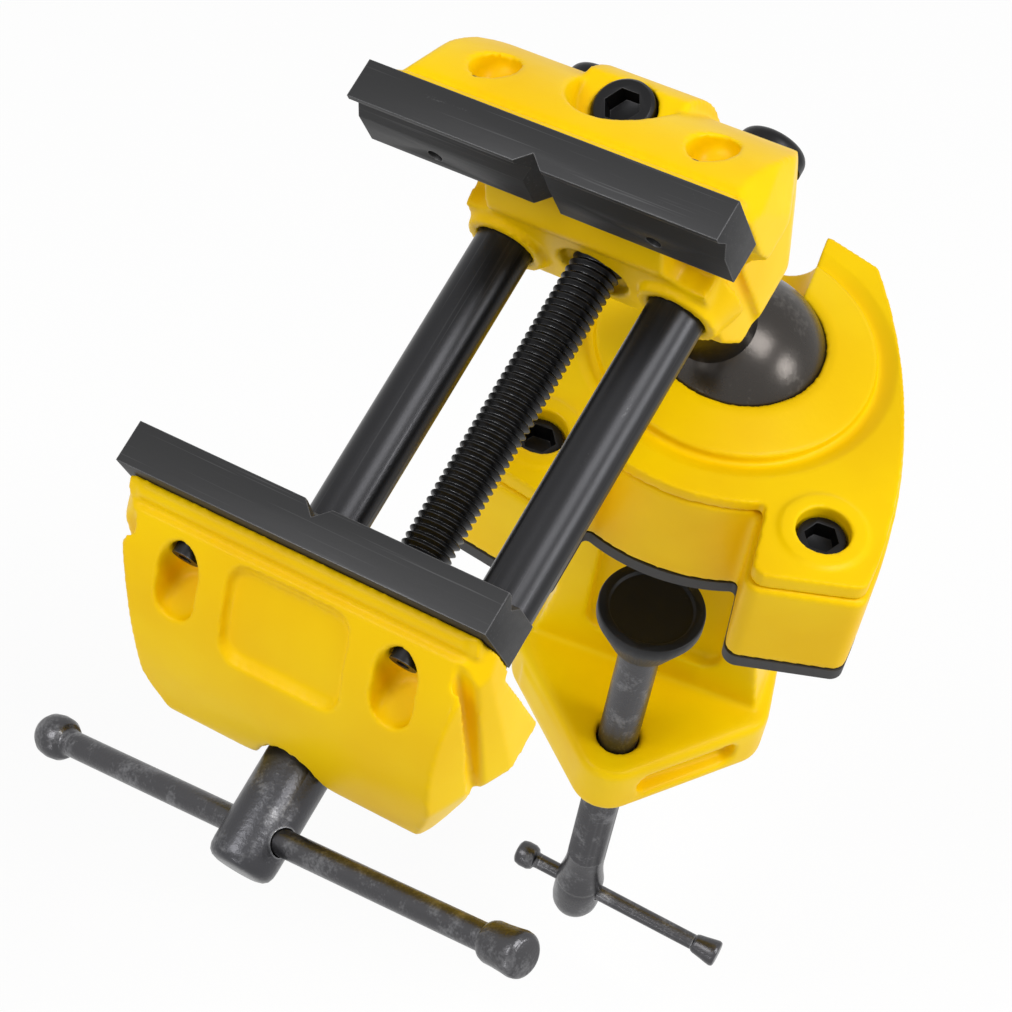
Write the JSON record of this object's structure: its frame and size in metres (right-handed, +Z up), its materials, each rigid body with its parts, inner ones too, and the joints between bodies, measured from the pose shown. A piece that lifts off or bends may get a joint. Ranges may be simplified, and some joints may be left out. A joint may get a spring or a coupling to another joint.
{
  "type": "multi-angle ball-joint vise",
  "caption": "Bench vise head on a lockable ball joint, with a sliding jaw on two rods and a C-clamp base for a table edge or a tube.",
  "frame": {"origin": "clamp screw's axis on the underside of the rubber pad", "axes": "+Z up along the clamp screw, +X to the right, +Y away from the open side of the clamp towards its spine"},
  "size_m": [0.141, 0.2179, 0.301],
  "materials": {
    "yellow_paint": "smooth gloss enamel on a fine cast surface",
    "black_steel": "blackened steel, satin, rubbed bright in places",
    "plate_steel": "blackened steel, matt, with bright ground edges",
    "ball_steel": "dark burnished steel",
    "black_rubber": "matt moulded rubber",
    "zinc_steel": "zinc-plated steel",
    "bronze": "plain bronze"
  },
  "bodies": {
    "base": {"base_frame": "yellow_paint", "socket_cap": "yellow_paint", "cap_screws": "black_steel", "rubber_pad": "black_rubber"},
    "seat_ring": {"ball_seat": "bronze"},
    "ball_body": {"ball": "ball_steel"},
    "head": {"stem": "ball_steel", "ball_screw": "zinc_steel", "head_bolt": "black_steel", "fixed_jaw": "yellow_paint", "fixed_jaw_plate": "plate_steel", "fixed_plate_screws": "black_steel"},
    "sliding_jaw": {"moving_jaw": "yellow_paint", "moving_jaw_plate": "plate_steel", "moving_plate_screws": "black_steel", "guide_rod_left": "black_steel", "guide_rod_right": "black_steel", "rod_pins": "zinc_steel", "rod_stop_screws": "black_steel", "thrust_washer": "bronze"},
    "jaw_screw": {"main_screw": "black_steel", "screw_retainer": "black_steel"},
    "jaw_handle": {"main_tbar": "black_steel", "main_tbar_ends": "black_steel"},
    "cup": {"clamp_cup": "black_steel", "cup_retainer": "zinc_steel"},
    "clamp_spindle": {"clamp_screw": "black_steel"},
    "clamp_handle": {"clamp_tbar": "black_steel", "clamp_tbar_ends": "black_steel"}
  },
  "joints": [
    {"name": "ball_swivel", "type": "hinge", "parent": "base", "child": "seat_ring", "pos_m": [0, 0.0295, 0.0253], "axis": [0, 0, 1], "continuous": true},
    {"name": "ball_tilt", "type": "hinge", "parent": "seat_ring", "child": "ball_body", "pos_m": [0, 0.0295, 0.0253], "axis": [0.7488, -0.6628, 0], "range_deg": [-24.13, 9.87]},
    {"name": "head_turn", "type": "hinge", "parent": "ball_body", "child": "head", "pos_m": [0, 0.0295, 0.0253], "axis": [-0.2709, -0.3061, 0.9126], "continuous": true},
    {"name": "jaw_slide", "type": "slide", "parent": "head", "child": "sliding_jaw", "axis": [0.1588, 0.9209, 0.3561], "range_m": [0, 0.069]},
    {"name": "jaw_screw_turn", "type": "hinge", "parent": "sliding_jaw", "child": "jaw_screw", "pos_m": [-0.04398, -0.12543, 0.04695], "axis": [0.1588, 0.9209, 0.3561], "range_deg": [-1, 16561]},
    {"name": "jaw_handle_slide", "type": "slide", "parent": "jaw_screw", "child": "jaw_handle", "axis": [0.8249, -0.3219, 0.4646], "range_m": [-0.0496, 0.0455]},
    {"name": "clamp_slide", "type": "slide", "parent": "base", "child": "cup", "axis": [0, 0, 1], "range_m": [-0.039, 0.0255]},
    {"name": "clamp_screw_turn", "type": "hinge", "parent": "cup", "child": "clamp_spindle", "pos_m": [0, 0, -0.15], "axis": [0, 0, 1], "range_deg": [-9361, 6121]},
    {"name": "clamp_handle_slide", "type": "slide", "parent": "clamp_spindle", "child": "clamp_handle", "axis": [0.989, -0.1478, 0], "range_m": [-0.0265, 0.0053]}
  ],
  "couplings": [
    {"joint": "jaw_screw_turn", "follows": "jaw_slide", "rad_per_m": 4188.8},
    {"joint": "clamp_screw_turn", "follows": "clamp_slide", "rad_per_m": 4188.8}
  ]
}
